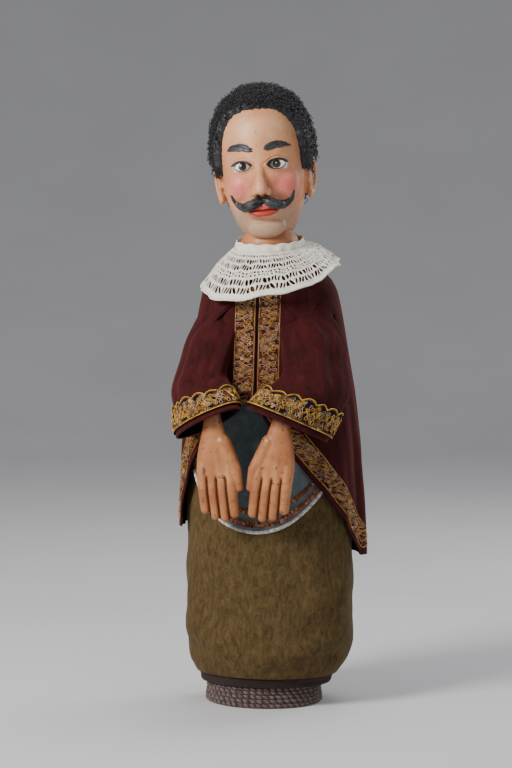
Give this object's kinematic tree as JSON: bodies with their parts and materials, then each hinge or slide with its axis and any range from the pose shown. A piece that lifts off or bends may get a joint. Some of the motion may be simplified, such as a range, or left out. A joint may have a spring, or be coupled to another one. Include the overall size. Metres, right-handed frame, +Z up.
{
  "type": "rod puppet",
  "caption": "Carved wooden rod puppet with a turning head, hinged arms and hands, black curly hair, a lace collar, a braided velvet jacket and a long skirt that hides the rod.",
  "frame": {"origin": "middle of the grip's flat foot, on the rod's axis, level with the hem", "axes": "+Z up the rod, -Y the way the puppet faces, +X towards the puppet's left"},
  "size_m": [0.1801, 0.184, 0.5988],
  "materials": {
    "painted_skin": "painted, satin",
    "bare_wood": "oiled",
    "black_hair": "curly wool",
    "burgundy_velvet": "velvet",
    "gold_braid": "metallic thread on black tape",
    "white_lace": "open lace",
    "teal_cloth": "brushed wool",
    "silver_piping": "metallic cord",
    "olive_velvet": "velveteen",
    "brown_tape": "woven tape",
    "ribbed_cuff": "ribbed cord",
    "leather": "plain",
    "brass": "dull"
  },
  "bodies": {
    "torso": {"torso_block": "bare_wood", "neck_washer": "leather", "shoulder_peg_left": "bare_wood", "shoulder_peg_right": "bare_wood", "jacket": "burgundy_velvet", "front_braid_left": "gold_braid", "front_braid_right": "gold_braid", "waistcoat_front": "teal_cloth", "waistcoat_braid_outer": "gold_braid", "waistcoat_braid_inner": "gold_braid", "waistcoat_piping": "silver_piping", "skirt": "olive_velvet", "waist_tie": "brown_tape", "hem_band": "brown_tape", "hem_hoop": "bare_wood", "hem_cuff": "ribbed_cuff", "lace_collar": "white_lace", "collar_band": "white_lace"},
    "head": {"head": "painted_skin", "hair": "black_hair", "neck": "painted_skin", "neck_peg": "bare_wood", "central_rod": "bare_wood", "stop_collar": "bare_wood", "stop_peg": "bare_wood", "thrust_washer": "leather", "rod_grip": "bare_wood", "grip_peg": "bare_wood"},
    "upper_arm_left": {"upper_arm_left": "bare_wood", "elbow_pin_left": "brass", "sleeve_upper_left": "burgundy_velvet"},
    "forearm_left": {"forearm_left": "bare_wood", "wrist_pin_left": "brass", "sleeve_lower_left": "burgundy_velvet", "cuff_braid_left": "gold_braid"},
    "hand_left": {"hand_left": "painted_skin"},
    "upper_arm_right": {"upper_arm_right": "bare_wood", "elbow_pin_right": "brass", "sleeve_upper_right": "burgundy_velvet"},
    "forearm_right": {"forearm_right": "bare_wood", "wrist_pin_right": "brass", "sleeve_lower_right": "burgundy_velvet", "cuff_braid_right": "gold_braid"},
    "hand_right": {"hand_right": "painted_skin"}
  },
  "joints": [
    {"name": "head_turn", "type": "hinge", "parent": "torso", "child": "head", "pos_m": [0, 0, 0], "axis": [0, 0, 1], "range_deg": [-70, 70]},
    {"name": "shoulder_left", "type": "hinge", "parent": "torso", "child": "upper_arm_left", "pos_m": [0.05, -0.005, 0.385], "axis": [-0.9063, -0.4226, 0], "range_deg": [0, 45]},
    {"name": "shoulder_right", "type": "hinge", "parent": "torso", "child": "upper_arm_right", "pos_m": [-0.05, -0.005, 0.385], "axis": [-0.9063, 0.4226, 0], "range_deg": [0, 45]},
    {"name": "elbow_left", "type": "hinge", "parent": "upper_arm_left", "child": "forearm_left", "pos_m": [0.066, -0.04, 0.312], "axis": [-1, 0, 0], "range_deg": [0, 45]},
    {"name": "elbow_right", "type": "hinge", "parent": "upper_arm_right", "child": "forearm_right", "pos_m": [-0.066, -0.04, 0.312], "axis": [-1, 0, 0], "range_deg": [0, 45]},
    {"name": "wrist_left", "type": "hinge", "parent": "forearm_left", "child": "hand_left", "pos_m": [0.034, -0.088, 0.291], "axis": [-1, 0, 0], "range_deg": [-8, 35]},
    {"name": "wrist_right", "type": "hinge", "parent": "forearm_right", "child": "hand_right", "pos_m": [-0.034, -0.088, 0.291], "axis": [-1, 0, 0], "range_deg": [-8, 35]}
  ]
}
